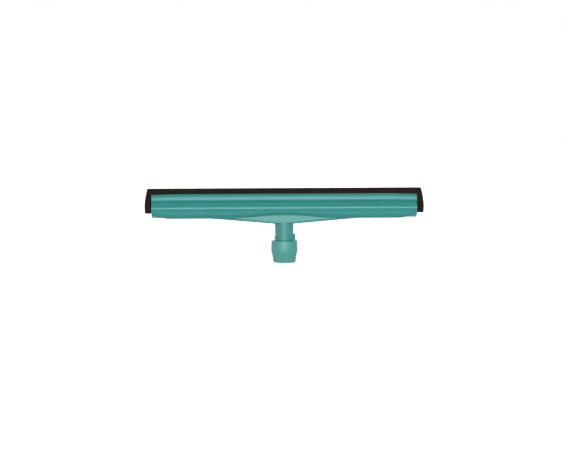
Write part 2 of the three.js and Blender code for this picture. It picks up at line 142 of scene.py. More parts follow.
def skin(name, rows, capped=True):
    """Closed mesh over a (rows, around, 3) grid in millimetres: quads join neighbouring rows, and
    each row closes on itself. A capped skin has a face on its first and last row, and any other
    joins its last row to its first. Points that meet, as at a pole, are merged."""
    count, around = rows.shape[:2]
    index = np.arange(count * around).reshape(count, around)
    lower = index[:-1] if capped else index
    upper = index[1:] if capped else np.roll(index, -1, 0)
    quads = np.stack([lower, np.roll(lower, -1, 1), np.roll(upper, -1, 1), upper], -1)
    faces = quads.reshape(-1, 4).tolist()
    if capped:
        faces += [index[0, ::-1].tolist(), index[-1].tolist()]
    mesh = bpy.data.meshes.new(name)
    mesh.from_pydata((rows.reshape(-1, 3) * MM).tolist(), [], faces)
    body = bmesh.new()
    body.from_mesh(mesh)
    bmesh.ops.remove_doubles(body, verts=body.verts, dist=WELD)
    if body.calc_volume(signed=True) < 0:
        bmesh.ops.reverse_faces(body, faces=body.faces)
    body.to_mesh(mesh)
    body.free()
    piece = bpy.data.objects.new(name, mesh)
    bpy.context.collection.objects.link(piece)
    return piece


def turned(profile, steps):
    """Rows of a shape turned about Z: the point at an angle a of each [radius, height] pair is
    (radius cos a, radius sin a, height)."""
    angle = np.linspace(0, 2 * np.pi, steps, endpoint=False)[None, :]
    radius, height = (column[:, None] + 0 * angle for column in np.asarray(profile, float).T)
    return np.stack([radius * np.cos(angle), radius * np.sin(angle), height], -1)


def plate(outline, low, high, edge, order):
    """Rows of a slab: an outline carried from low to high with both rims rounded by edge. The order
    says which of outline x, outline y and thickness stand for X, Y and Z."""
    places, drawn = with_rims(np.empty(0), low, high, edge)
    outlines = drawn_in(np.repeat(np.asarray(outline)[None], len(places), 0), drawn)
    through = np.repeat(places[:, None, None], outlines.shape[1], 1)
    return np.concatenate([outlines, through], -1)[:, :, order]


def worked(piece, tools, operation):
    """Cuts the tools out of the piece, or adds them to it, as closed solids, and drops them."""
    for tool in tools:
        step = piece.modifiers.new("work", "BOOLEAN")
        step.operation = operation
        step.solver = "MANIFOLD"
        step.object = tool
    result = piece.evaluated_get(bpy.context.evaluated_depsgraph_get())
    mesh = bpy.data.meshes.new_from_object(result)
    piece.modifiers.clear()
    piece.data = mesh
    for tool in tools:
        bpy.data.meshes.remove(tool.data)
    return piece


def hub_share(x):
    """How much of the hub's full form a station has: 1 at the neck, falling evenly to 0 at the
    hub's ends, with both bends softened: a bent line r is replaced by (r + sqrt(r^2 + e^2)) / 2."""
    run = (np.abs(x) - HUB_HALF_FLAT) / (HUB_HALF_LENGTH - HUB_HALF_FLAT)
    left = 1 - (run + np.sqrt(run**2 + HUB_SOFT_SHARE**2)) / 2
    return (left + np.sqrt(left**2 + HUB_SOFT_SHARE**2)) / 2


def corner_cut(x, z):
    """How far the frame's ends are drawn in towards their lower corners: the square of the drop,
    fading in over the last stretch of the frame."""
    drop = np.clip((strip_low[2] - z) / (strip_low[2] - shell_low[2]), 0, 1)
    near_end = np.clip((np.abs(x) - HALF_FRAME) / CORNER_RUN + 1, 0, 1)
    return -CORNER_CUT * drop**2 * near_end**2 * np.sign(x)


def hub_solid(name, grow):
    """Flange and hub, larger all round by grow. In each section an arc rounds the lower edge up to
    where the line from the facet's top touches it, and the facet and a short upright follow. The
    arc's radius runs from the flange's to the hub's with the share, and on the wings between them
    it is larger by 4 share (1 - share)."""
    half = HALF_FRAME + grow
    x, drawn = with_rims(np.linspace(-half, half, HUB_STATIONS), -half, half, CARRIER_RIM)
    share = hub_share(x)[:, None]
    radius = FLANGE_EDGE + (HUB_EDGE - FLANGE_EDGE) * share + 4 * WING_EDGE * share * (1 - share)
    width = FLANGE_HALF_WIDTH + (HUB_HALF_WIDTH - FLANGE_HALF_WIDTH) * share + grow
    bottom = FLANGE_BOTTOM - HUB_RISE * share - grow
    top_y = FLANGE_HALF_WIDTH + grow + 0 * share
    top_z = FLANGE_TOP - FACET_DROP + 0 * share
    centre_y = width - radius
    centre_z = bottom + radius
    reach = np.hypot(top_y - centre_y, top_z - centre_z)
    bearing = np.arctan2(top_z - centre_z, top_y - centre_y)
    touch = bearing - np.arccos(np.clip(radius / reach, 0, 1)) + np.pi / 2
    turn = touch * np.linspace(0, 1, HUB_ARC_STEPS)[None, :]
    y = np.concatenate([centre_y + radius * np.sin(turn), top_y, top_y - FLANGE_DRAFT], 1)
    z = np.concatenate([centre_z - radius * np.cos(turn), top_z, FLANGE_TOP + grow + 0 * share], 1)
    outlines = np.stack([np.concatenate([y, -y[:, ::-1]], 1), np.concatenate([z, z[:, ::-1]], 1)], -1)
    outlines = drawn_in(outlines, drawn)
    x = x[:, None] + 0 * outlines[..., 0]
    x = x + corner_cut(x, outlines[..., 1])
    return skin(name, np.concatenate([x[..., None], outlines], -1))


carrier = hub_solid("moulded_carrier", 0.0)

# Coring pockets under the hub and the flange, with a rib between each two
HANDLE_RADIUS = 12.0
BORE_RADIUS = HANDLE_RADIUS + FIT_GAP
NECK_WALL = 2.5
NECK_RADIUS = BORE_RADIUS + NECK_WALL
POCKETS_PER_SIDE = 8
POCKET_NECK_GAP = 5.0
POCKET_START = NECK_RADIUS + POCKET_NECK_GAP
POCKET_RIB = 2.0
POCKET_DRAFT = 0.3
POCKET_CORNER = 1.8
POCKET_FLOOR_ROUND = 0.9
pocket_ceiling = FLANGE_TOP - FLANGE_FLOOR
pocket_pitch = (HALF_FRAME - POCKET_START - HUB_WALL) / POCKETS_PER_SIDE


def pocket(side, i):
    """A drafted box with rounded corners, from below the hub up to the ceiling, where its outline
    is drawn in round a quarter circle."""
    ends = POCKET_START + pocket_pitch * np.array([i, i + 1]) - np.array([0, POCKET_RIB])
    mouth = FLANGE_HALF_WIDTH - HUB_WALL
    boxes = []
    for half in (mouth, mouth - POCKET_DRAFT):
        box = np.array([[ends[0], half], [ends[1], half], [ends[1], -half], [ends[0], -half]])
        boxes.append(eased(box * [side, 1], POCKET_CORNER))
    turn = np.linspace(0, np.pi / 2, RIM_STEPS + 1)
    rows = np.stack([boxes[0]] + [boxes[1]] * len(turn))
    rows = drawn_in(rows, np.concatenate([[0], POCKET_FLOOR_ROUND * (1 - np.cos(turn))]))
    low = HUB_BOTTOM - OVERRUN
    z = np.concatenate([[low], pocket_ceiling - POCKET_FLOOR_ROUND * (1 - np.sin(turn))])
    return skin("pocket", np.concatenate([rows, z[:, None, None] + 0 * rows[..., :1]], -1))


worked(carrier, [pocket(side, i) for side in (-1, 1) for i in range(POCKETS_PER_SIDE)], "DIFFERENCE")

# Web between the two strips, cut away round the screw bosses
WEB_HALF = 1.3
WEB_INSET = 1.2
WEB_CORNER = 1.5
WEB_RIM = 0.5
SCREW_COUNT = 6
BOSS_RADIUS = 4.0
BOSS_GAP = 0.4
ROD_STEPS = 48
screw_boxes = [corners(f"cover_screw_{i + 1}") for i in range(SCREW_COUNT)]
screw_places = [(low[0] + high[0]) / 2 for low, high in screw_boxes]
SCREW_Z = (screw_boxes[0][0][2] + screw_boxes[0][1][2]) / 2
web_reach = HALF_FRAME - WEB_INSET
web_foot = FLANGE_TOP - FLANGE_FLOOR / 2
web_top = carrier_high[2]
web_outline = eased(
    [[-web_reach, web_foot], [web_reach, web_foot], [web_reach, web_top], [-web_reach, web_top]],
    [SHARP, SHARP, WEB_CORNER, WEB_CORNER],
)
web = skin("web", plate(web_outline, -WEB_HALF, WEB_HALF, WEB_RIM, [0, 2, 1]))


def rods(radius, low, high):
    """A plain round rod along Y between two depths, at each screw's place."""
    rows = turned([[0, low], [radius, low], [radius, high], [0, high]], ROD_STEPS)[:, :, [0, 2, 1]]
    return [skin("rod", rows + np.array([x, 0, SCREW_Z])) for x in screw_places]


worked(web, rods(BOSS_RADIUS + BOSS_GAP, -WEB_HALF - OVERRUN, WEB_HALF + OVERRUN), "DIFFERENCE")

# Neck: a blind socket for the handle, with a right-hand ridge wound round its outside
NECK_SWELL = 0.25
NECK_COVE = 0.3
COVE_SHARES = [0.25, 0.3]
NECK_CHAMFER = 0.8
NECK_ROW_SPACING = 1.5
NECK_STEPS = 192
HANDLE_DEPTH = 60.0
BORE_EDGE = 0.6
NUT_HEIGHT = 36.1
LUG_HEIGHT = 9.7
LUG_TOP = NUT_HEIGHT + LUG_HEIGHT
neck_low = carrier_low[2]
neck_out = NECK_RADIUS + NECK_SWELL
neck_root = (HUB_BOTTOM + FLANGE_BOTTOM) / 2
neck_profile = [
    [0, HANDLE_DEPTH],
    [BORE_RADIUS - BORE_EDGE, HANDLE_DEPTH],
    [BORE_RADIUS, HANDLE_DEPTH - BORE_EDGE],
    [BORE_RADIUS, neck_low + BORE_EDGE],
    [BORE_RADIUS + BORE_EDGE, neck_low],
    [NECK_RADIUS - NECK_CHAMFER, neck_low],
    [NECK_RADIUS, neck_low + NECK_CHAMFER],
    [NECK_RADIUS, LUG_TOP],
    [neck_out, HUB_BOTTOM - NECK_COVE],
    [neck_out + COVE_SHARES[0] * NECK_COVE, HUB_BOTTOM - COVE_SHARES[1] * NECK_COVE],
    [neck_out + NECK_COVE, HUB_BOTTOM],
    [neck_out, neck_root],
    [0, neck_root],
]
neck = skin("neck", turned(denser(neck_profile, NECK_ROW_SPACING), NECK_STEPS))

THREAD_PITCH = 6.0
THREAD_DEPTH = 2.0
THREAD_ROOT_HALF = 1.8
THREAD_CREST_HALF = 0.9
THREAD_SINK = 0.5
THREAD_EDGE = 0.35
THREAD_TAPER = 4.8
THREAD_STEPS_PER_TURN = 72
THREAD_SHOWING = 3.45
THREAD_END_TURN_SHARE = 0.54
THREAD_LEAD = 0.8
THREAD_GAP = 0.5
thread_radius = NECK_RADIUS + THREAD_DEPTH
thread_top = NUT_HEIGHT + THREAD_SHOWING
thread_right = thread_top - THREAD_END_TURN_SHARE * THREAD_PITCH
thread_bottom = neck_low + THREAD_ROOT_HALF + THREAD_LEAD


def wound(root, crest, low, high, taper, edge):
    """A trapezoid carried up the helix whose angle is 2 pi (z - height at the right) / pitch. Root
    and crest give its radius and half width there, and it grows to full depth over the taper."""
    section = eased(
        [[root[0], -root[1]], [crest[0], -crest[1]], [crest[0], crest[1]], [root[0], root[1]]],
        [SHARP, edge, edge, SHARP],
    )
    z = np.linspace(low, high, int((high - low) / THREAD_PITCH * THREAD_STEPS_PER_TURN))[:, None]
    angle = (z - thread_right) / THREAD_PITCH * 2 * np.pi
    grown = np.clip((z - low + SHARP) / taper, 0, 1)
    radius = root[0] + (section[None, :, 0] - root[0]) * grown
    return np.stack([radius * np.cos(angle), radius * np.sin(angle), z + section[None, :, 1]], -1)


ridge_root = [NECK_RADIUS - THREAD_SINK, THREAD_ROOT_HALF]
ridge_crest = [thread_radius, THREAD_CREST_HALF]
ridge = skin("ridge", wound(ridge_root, ridge_crest, thread_bottom, thread_top, THREAD_TAPER, THREAD_EDGE))

# Lug that stops the nut, with its foot along the nut's sloping shoulder. Its back is steep, and its
# front ramps up from the neck.
LUG_REACH = 3.0
LUG_HALF_WIDTH = 2.75
LUG_RIM = 0.5
LUG_RAMP_TURN = math.radians(32)
NUT_RADIUS = 21.35
NUT_SHOULDER = 1.0
NUT_MINOR = NECK_RADIUS + THREAD_GAP
shoulder_slope = NUT_SHOULDER / (NUT_RADIUS - NUT_MINOR)
lug_in = BORE_RADIUS + NECK_WALL / 2
lug_out = NECK_RADIUS + LUG_REACH
lug_foot = NUT_HEIGHT + FIT_GAP
ramp_foot = np.array([math.cos(LUG_RAMP_TURN), -math.sin(LUG_RAMP_TURN)])
lug_outline = eased(
    [
        [lug_in, LUG_HALF_WIDTH],
        [lug_out, LUG_HALF_WIDTH],
        [lug_out, -LUG_HALF_WIDTH],
        NECK_RADIUS * ramp_foot,
        lug_in * ramp_foot,
    ],
    [SHARP, LUG_RIM, LUG_RIM, SHARP, SHARP],
)
lug_rows = plate(lug_outline, lug_foot, LUG_TOP, LUG_RIM, [0, 1, 2])
past_minor = np.clip(np.hypot(lug_rows[..., 0], lug_rows[..., 1]) - NUT_MINOR, 0, None)
lug_rows[: RIM_STEPS + 1, :, 2] -= shoulder_slope * past_minor[: RIM_STEPS + 1]
lug = skin("lug", lug_rows)
worked(carrier, [web, neck, ridge, lug], "UNION")


def linear(hex_colour):
    """An sRGB hex colour as linear red, green, blue and alpha."""
    parts = np.array([int(hex_colour[i : i + 2], 16) for i in (1, 3, 5)]) / 255
    parts = np.where(parts <= 0.04045, parts / 12.92, ((parts + 0.055) / 1.055) ** 2.4)
    return [*parts.tolist(), 1.0]


def add_node(tree, kind, inputs=None, **settings):
    """Adds a node, sets its properties, and gives each input a value or a link. Inputs go by name,
    or by number where names repeat: a colour Mix takes its two colours at 6 and 7."""
    made = tree.nodes.new("ShaderNode" + kind)
    for name, value in settings.items():
        setattr(made, name, value)
    for name, value in (inputs or {}).items():
        if isinstance(value, bpy.types.NodeSocket):
            tree.links.new(value, made.inputs[name])
        else:
            made.inputs[name].default_value = value
    return made


def new_material(name, **shader_values):
    """A material with only its shader: the material, its node tree, the shader, and the place on
    the object that patterns are built on. Names of shader inputs have _ for spaces."""
    material = bpy.data.materials.new(name)
    material.use_nodes = True
    tree = material.node_tree
    shader = tree.nodes["Principled BSDF"]
    for name, value in shader_values.items():
        shader.inputs[name.replace("_", " ")].default_value = value
    return material, tree, shader, add_node(tree, "TexCoord").outputs["Object"]


def two_tones(tree, factor, first, second):
    """A colour between two hex colours, by a factor."""
    tones = {0: factor, 6: linear(first), 7: linear(second)}
    return add_node(tree, "Mix", tones, data_type="RGBA").outputs[2]


def spread_over(tree, value, low, high, to_low, to_high):
    """A value's range low to high stretched evenly over another, and held at its ends."""
    ends = {"Value": value, "From Min": low, "From Max": high, "To Min": to_low, "To Max": to_high}
    return add_node(tree, "MapRange", ends).outputs["Result"]


def finished(piece, material, body, slot, *nodes):
    """Gives a piece its material, smooth shading that keeps crisp edges and follows the larger
    faces, and its part in the assembly."""
    piece.data.name = piece.name
    piece.data.materials.clear()
    piece.data.materials.append(material)
    piece.data.shade_smooth()
    piece.data.set_sharp_from_angle(angle=SMOOTH_EDGE)
    piece.modifiers.new("large_faces_first", "WEIGHTED_NORMAL").keep_sharp = True
    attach(piece, body)
    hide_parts(*nodes)


# Nearly all values of a noise texture lie in this range
NOISE_RANGE = [0.3, 0.7]


def moulded_plastic(name, deep, pale, roughness, spread, grain, depth, drift):
    """Injection-moulded polypropylene. Its colour drifts between two near tones as pigment does in
    the melt, its roughness wanders a little, and a fine bump is the texture that the mould left.
    Grain, its depth and the drift are in millimetres."""
    material, tree, shader, place = new_material(name, IOR=1.49)
    cloud = add_node(tree, "TexNoise", {"Vector": place, "Scale": 1 / (drift * MM), "Detail": 3.0})
    tree.links.new(two_tones(tree, cloud.outputs["Fac"], deep, pale), shader.inputs["Base Color"])
    texture = add_node(tree, "TexNoise", {"Vector": place, "Scale": 1 / (grain * MM), "Detail": 2.0})
    height = texture.outputs["Fac"]
    gloss = spread_over(tree, height, *NOISE_RANGE, roughness - spread, roughness + spread)
    tree.links.new(gloss, shader.inputs["Roughness"])
    bump = add_node(tree, "Bump", {"Height": height, "Distance": depth * MM})
    tree.links.new(bump.outputs["Normal"], shader.inputs["Normal"])
    return material


# Spark-eroded polypropylene: its frosting is finer than a pixel, so it is drawn 1.2 mm coarse
frosted_teal = moulded_plastic("eroded_polypropylene", "#2b7e78", "#368881", 0.42, 0.05, 1.2, 0.02, 9.0)
finished(carrier, frosted_teal, "frame", "frame_plastic", "carrier")

# Cover shells
# Two long polypropylene mouldings, front and rear, each with two rolls along its length. A lip and
# a rib press on the rubber, and the skirt hugs the hub. Screws draw the two together by bosses that
# meet in the web's holes. Their mould was polished, so they shine more than the carrier.
SHELL_NEAR = 9.9
SHELL_DEPTH = -shell_low[1] - SHELL_NEAR
SHELL_DROP = 0.35
SHELL_BOTTOM = shell_low[2] - SHELL_DROP
SHELL_HEIGHT = shell_high[2] - SHELL_BOTTOM
SHELL_RIM = 0.35
SHELL_STATIONS = 121
HUB_LIFT = 6.2
HUB_LIFT_HALF = 95.0
END_LIFT = 6.0
END_RUN = 27.0
END_DROOP = 1.0
END_DROOP_RUN = 70.0
END_POWER = 1.3
END_STATIONS = 25
FLEX_SHARE = 0.27
ROLL_STEPS = 64
SEAT_GAP = 0.1
FOOT_EDGE = 0.15
LIP_EDGE = 0.4
VALLEY_EDGE = 0.2
INSIDE_EDGE = 0.3
LOW_ROLL_SHARES = [
    [0, 0.5],
    [0.05, 0.7],
    [0.15, 0.85],
    [0.27, 0.905],
    [0.38, 0.985],
    [0.425, 1],
    [0.474, 0.954],
    [0.504, 0.843],
    [0.653, 0.352],
]
HIGH_ROLL_SHARES = [
    [0.653, 0.352],
    [0.715, 0.53],
    [0.776, 0.58],
    [0.827, 0.558],
    [0.878, 0.489],
    [0.929, 0.364],
    [0.98, 0.16],
    [1, 0.06],
]
INSIDE_SHARES = [
    [0.985, 0],
    [0.6, 0],
    [0.56, 0.3],
    [0.485, 0.62],
    [0.43, 0.7],
    [0.425, 0],
    [0.385, 0],
    [0.38, 0.655],
    [0.28, 0.6],
    [0.19, 0.575],
]


def smooth_line(points, steps):
    """Curve through the points: between two of them it is the cubic whose slope at each is half of
    the step between that point's neighbours."""
    points = np.asarray(points, float)
    last = len(points) - 1
    at = np.linspace(0, last, steps + 1)
    span = np.minimum(at.astype(int), last - 1)
    t = (at - span)[:, None]
    before, here, there, after = (points[np.clip(span + k, 0, last)] for k in (-1, 0, 1, 2))
    hold = (2 * t**3 - 3 * t**2 + 1) * here + (3 * t**2 - 2 * t**3) * there
    lean = (t**3 - 2 * t**2 + t) * (there - before) / 2 + (t**3 - t**2) * (after - here) / 2
    return hold + lean


def edge_lift(x):
    """How far a shell's lower edge stands above its lowest run: a squared cosine over the hub, and
    a power curve over the last stretch at each end."""
    over_hub = np.clip(np.abs(x) / HUB_LIFT_HALF, 0, 1)
    past_run = np.clip((np.abs(x) - (HALF_FRAME - END_RUN)) / END_RUN, 0, 1)
    return HUB_LIFT * np.cos(over_hub * np.pi / 2) ** 2 + END_LIFT * past_run**END_POWER


def shell_solid(name, side):
    """One outline carried along X. Below the height where the outline flexes, it is squeezed evenly
    into what is left above the lifted edge. Above that height, it droops towards both ends by the
    square of the run. Last, the hub's own form is cut out with a gap."""
    seat = FLANGE_HALF_WIDTH + SEAT_GAP
    rolls = [smooth_line(shares, ROLL_STEPS) for shares in (LOW_ROLL_SHARES, HIGH_ROLL_SHARES)]
    loop = np.concatenate([rolls[0], rolls[1][1:], INSIDE_SHARES])
    loop = np.stack([SHELL_NEAR + loop[:, 1] * SHELL_DEPTH, SHELL_BOTTOM + loop[:, 0] * SHELL_HEIGHT], -1)
    loop = np.concatenate([loop, [[seat, FLANGE_TOP], [seat, SHELL_BOTTOM]]])
    edges = np.full(len(loop), INSIDE_EDGE)
    edges[: 2 * ROLL_STEPS + 1] = 0
    edges[[0, 2 * ROLL_STEPS, -1]] = [FOOT_EDGE, LIP_EDGE, FOOT_EDGE]
    edges[ROLL_STEPS] = VALLEY_EDGE
    loop = eased(loop, edges)
    end_places = np.linspace(HALF_FRAME - END_RUN, HALF_FRAME, END_STATIONS)
    even_places = np.linspace(-HALF_FRAME, HALF_FRAME, SHELL_STATIONS)
    middle = np.unique(np.concatenate([even_places, end_places, -end_places]))
    x, drawn = with_rims(middle, -HALF_FRAME, HALF_FRAME, SHELL_RIM)
    sections = drawn_in(np.repeat(loop[None], len(x), 0), drawn)
    y, z = sections[..., 0], sections[..., 1]
    edge = SHELL_BOTTOM + edge_lift(x)[:, None]
    flex = SHELL_BOTTOM + FLEX_SHARE * SHELL_HEIGHT
    z = np.where(z < flex, edge + (z - SHELL_BOTTOM) * (flex - edge) / (flex - SHELL_BOTTOM), z)
    near_end = np.clip((np.abs(x) - HALF_FRAME) / END_DROOP_RUN + 1, 0, 1)[:, None]
    z = z - END_DROOP * near_end**2 * np.clip((z - flex) / (shell_high[2] - flex), 0, 1)
    x = x[:, None] + 0 * z
    shell = skin(name, np.stack([x + corner_cut(x, z), side * y, z], -1))
    return worked(shell, [hub_solid("clearance", SEAT_GAP)], "DIFFERENCE")


SCREW_RADIUS = 1.9
SCREW_HEAD_RADIUS = 3.7
SCREW_HEAD_HEIGHT = 2.2
SCREW_LENGTH = 18.6
PILOT_FLOOR = 0.5
screw_seat = screw_boxes[0][1][1] - SCREW_HEAD_HEIGHT
boss_end = screw_seat - FIT_GAP
shell_outside = SHELL_NEAR + SHELL_DEPTH + OVERRUN
pilot_end = screw_seat - SCREW_LENGTH - PILOT_FLOOR

front_shell = shell_solid("front_shell", -1)
worked(front_shell, rods(BOSS_RADIUS, -boss_end, -FIT_GAP / 2), "UNION")
worked(front_shell, rods(SCREW_RADIUS + FIT_GAP, pilot_end, OVERRUN), "DIFFERENCE")

rear_shell = shell_solid("rear_shell", 1)
worked(rear_shell, rods(BOSS_RADIUS, FIT_GAP / 2, boss_end), "UNION")
worked(rear_shell, rods(SCREW_RADIUS + FIT_GAP, -OVERRUN, shell_outside), "DIFFERENCE")
worked(rear_shell, rods(SCREW_HEAD_RADIUS + FIT_GAP, boss_end, shell_outside), "DIFFERENCE")

# Polished-mould polypropylene: a faint ripple 2.5 mm across is what flow and shrinkage leave. Its
# highlights are tinted a little towards its own colour, as they look on the real covers.
glossy_teal = moulded_plastic("polished_polypropylene", "#20746e", "#247c76", 0.3, 0.03, 2.5, 0.012, 14.0)
glossy_shader = glossy_teal.node_tree.nodes["Principled BSDF"]
glossy_shader.inputs["Specular Tint"].default_value = linear("#daf9ff")
finished(front_shell, glossy_teal, "frame", "frame_plastic", "front_cover")
finished(rear_shell, glossy_teal, "frame", "frame_plastic", "rear_cover")

# Foam rubber strips
# A pair of black-brown cellular rubber strips, sawn from a block and so open-pored on every face.
# The lips of the shells nip them, and the rubber swells a little above the lips and at both ends.
HALF_BLADE = strip_high[0]
STRIP_NEAR = -strip_high[1]
STRIP_FAR = -strip_low[1]
STRIP_BASE = strip_low[2]
STRIP_TIP = strip_high[2]
STRIP_EDGE = 0.45
STRIP_TIP_TUCK = 4.85
STRIP_TIP_POWER = 1.75
STRIP_BASE_TUCK = 0.6
STRIP_BASE_CORNER = 1.2
STRIP_FULL_SHARE = 0.24
NIP_SWELL = 0.3
NIP_SWELL_RISE = 1.6
NIP_SWELL_RUN = 1.5
WAVE_DEPTH = 0.08
WAVE_ALONG = 37.0
WAVE_UP = 11.0
RIPPLE_DEPTH = 0.05
RIPPLE_ALONG = 13.0
PORE_DEPTH = 0.07
TIP_PORE_SCALE = 1.5
STRIP_ALONG = 420
STRIP_UP = 40
STRIP_ACROSS = 8
STRIP_END_RINGS = 6


def strip_reach(z):
    """Half length of a strip at a height: tucked in at the base, widest a little way up, and drawn
    in towards the tip with a power of the height. An arc rounds the lower corner."""
    up = (z - STRIP_BASE) / (STRIP_TIP - STRIP_BASE)
    towards_tip = np.clip((up - STRIP_FULL_SHARE) / (1 - STRIP_FULL_SHARE), 0, 1)
    towards_base = np.clip(1 - up / STRIP_FULL_SHARE, 0, 1)
    in_corner = np.clip(1 - (z - STRIP_BASE) / STRIP_BASE_CORNER, 0, 1)
    corner = STRIP_BASE_CORNER * (1 - np.sqrt(1 - in_corner**2))
    tip_tuck = STRIP_TIP_TUCK * towards_tip**STRIP_TIP_POWER
    return HALF_BLADE - tip_tuck - STRIP_BASE_TUCK * towards_base - corner


def strip_rows(side, seed):
    """A rounded section carried along X: half thickness h(z) on both faces, with a flat tip. The
    faces swell above the nip and wander by sums of sines, and seeded noise pits them. Each end is
    closed by rings whose thickness falls to nothing at the middle plane."""
    half = (STRIP_FAR - STRIP_NEAR) / 2
    rise = np.linspace(STRIP_BASE, STRIP_TIP, STRIP_UP + 1)
    fine = STRIP_EDGE * np.linspace(0, 1, RIM_STEPS + 1)
    z_up = np.unique(np.concatenate([rise, STRIP_BASE + fine, STRIP_TIP - fine]))
    to_edge = np.minimum(z_up - STRIP_BASE, STRIP_TIP - z_up)
    rounding = STRIP_EDGE * (1 - np.sqrt(1 - np.clip(1 - to_edge / STRIP_EDGE, 0, 1) ** 2))
    h = half - rounding
    across = np.linspace(1, -1, STRIP_ACROSS + 1)[1:-1] * h[-1]
    depth = np.concatenate([h, across, -h[::-1], -across])
    z = np.concatenate([z_up, np.full(len(across), STRIP_TIP), z_up[::-1], np.full(len(across), STRIP_BASE)])
    turn = np.linspace(0, np.pi / 2, RIM_STEPS + 1)
    share = np.linspace(-1, 1, STRIP_ALONG + 1)
    share = np.concatenate([np.full(RIM_STEPS, -1), share, np.full(RIM_STEPS, 1)])[:, None]
    out = np.zeros(len(share))
    out[:RIM_STEPS] = np.sin(turn[:0:-1])
    out[-RIM_STEPS:] = np.sin(turn[1:])
    thin = 1 - np.sqrt(1 - out**2)
    x = share * (strip_reach(z) - STRIP_EDGE + STRIP_EDGE * out[:, None])
    random = np.random.default_rng(seed)
    pits = np.abs(random.normal(0, PORE_DEPTH, x.shape)) * (np.abs(share) < 1)
    nip = shell_high[2] + NIP_SWELL_RISE
    outer = np.clip(depth / half, 0, 1)
    swell = NIP_SWELL * np.exp(-(((z - nip) / NIP_SWELL_RUN) ** 2)) * outer * (np.abs(share) < 1)
    wave = WAVE_DEPTH * np.sin(x / WAVE_ALONG + seed) * np.sin(z / WAVE_UP + 2 * seed)
    wander = (wave + RIPPLE_DEPTH * np.sin(x / RIPPLE_ALONG + 3 * seed)) * (np.abs(share) < 1)
    depth = depth * (1 - STRIP_EDGE * thin[:, None] / half) + swell + (wander - pits) * depth / half
    z = z - pits * (z == STRIP_TIP) * TIP_PORE_SCALE + 0 * x
    rows = np.stack([x, depth, z], -1)
    closing = np.linspace(1, 0, STRIP_END_RINGS + 1)[1:, None]
    ends = []
    for row, outward in ((rows[0], -1), (rows[-1], 1)):
        ring = np.repeat(row[None], STRIP_END_RINGS, 0)
        ring[..., 1] *= closing
        pitted = np.abs(random.normal(0, PORE_DEPTH, ring.shape[:2])) * (closing > 0)
        ring[..., 0] -= outward * pitted
        ends.append(ring)
    rows = np.concatenate([ends[0][::-1], rows, ends[1]])
    rows[..., 1] = side * ((STRIP_NEAR + STRIP_FAR) / 2 + rows[..., 1])
    return rows


front_foam = skin("front_foam", strip_rows(-1, seed=3))
rear_foam = skin("rear_foam", strip_rows(1, seed=8))
boss_clear = BOSS_RADIUS + BOSS_GAP
worked(front_foam, rods(boss_clear, -STRIP_FAR - OVERRUN, -STRIP_NEAR + OVERRUN), "DIFFERENCE")
worked(rear_foam, rods(boss_clear, STRIP_NEAR - OVERRUN, STRIP_FAR + OVERRUN), "DIFFERENCE")

# Cellular rubber: pores about 0.5 mm wide, drawn 0.9 mm wide so that they show, with painted shade darkening
# each pore, dull and dusty
PORE_WIDTH = 0.9
PORE_BUMP = 0.12
PORE_SHADE_SHARE = 0.6
DUST_PATCH = 6.0
cellular_rubber, tree, shader, place = new_material(
    "cellular_rubber", IOR=1.5, Specular_IOR_Level=0.05, Roughness=0.95
)
pores = add_node(tree, "TexVoronoi", {"Vector": place, "Scale": 1 / (PORE_WIDTH * MM)})
cloud = add_node(tree, "TexNoise", {"Vector": place, "Scale": 1 / (DUST_PATCH * MM), "Detail": 4.0})
skin_tone = two_tones(tree, cloud.outputs["Fac"], "#1e1613", "#2c221c")
# Painted shade: towards each pore's middle the colour darkens to #140f0c, standing in for the shade inside
# the hollow
pore_shade = spread_over(tree, pores.outputs["Distance"], 0.0, PORE_SHADE_SHARE, 1.0, 0.0)
pore_shaded_tone = add_node(tree, "Mix", {0: pore_shade, 6: skin_tone, 7: linear("#140f0c")}, data_type="RGBA")
tree.links.new(pore_shaded_tone.outputs[2], shader.inputs["Base Color"])
pore_relief = {"Height": pores.outputs["Distance"], "Distance": PORE_BUMP * MM, "Strength": 0.8}
tree.links.new(add_node(tree, "Bump", pore_relief).outputs["Normal"], shader.inputs["Normal"])
finished(front_foam, cellular_rubber, "frame", "foam_rubber", "front_blade")
finished(rear_foam, cellular_rubber, "frame", "foam_rubber", "rear_blade")

# Lock nut
# A thick polypropylene nut with thirty flutes for wet hands, deep on its waist and faint on the
# barrel. Inside, a taper squeezes the clamp ring, and a wide groove meshes with the neck's ridge.
NUT_RIM = NUT_HEIGHT - NUT_SHOULDER
NUT_FLOOR = 3.2
NUT_MOUTH_GAP = 0.6
NUT_MOUTH = HANDLE_RADIUS + NUT_MOUTH_GAP
NUT_MAJOR = thread_radius + THREAD_GAP
NUT_RELIEF = 2.3
NUT_EDGE = 0.3
NUT_LEAD = 0.5
NUT_INSIDE_EDGE = 0.1
NUT_SIDE_STEPS = 56
NUT_ROW_SPACING = 0.8
NUT_STEPS = 360
FLUTES = 30
FLUTE_DEPTH = 0.8
FAINT_FLUTE_DEPTH = 0.25
FLUTE_FAINTER_SHARES = [0.38, 0.57]
FLUTE_END_SHARES = [0.93, 1.0]
FLUTE_VALLEY_POWER = 1.4
FLUTE_FOOT_RADIUS = 13.6
FLUTE_FOOT_RUN = 3.0
GROOVE_GAP = 0.7
RING_GAP = 0.35
RING_WALL = 1.3
NUT_SHARES = [
    [0.0, 0.815],
    [0.048, 0.846],
    [0.167, 0.868],
    [0.355, 0.922],
    [0.447, 0.963],
    [0.574, 0.99],
    [0.73, 0.992],
    [0.95, 0.981],
    [0.985, 0.968],
    [1.0, 0.94],
]
ring_low, ring_high = corners("clamp_ring")


def smooth_step(value, low, high):
    """0 below low, 1 above high, and 3 t^2 - 2 t^3 between."""
    t = np.clip((value - low) / (high - low), 0, 1)
    return t * t * (3 - 2 * t)


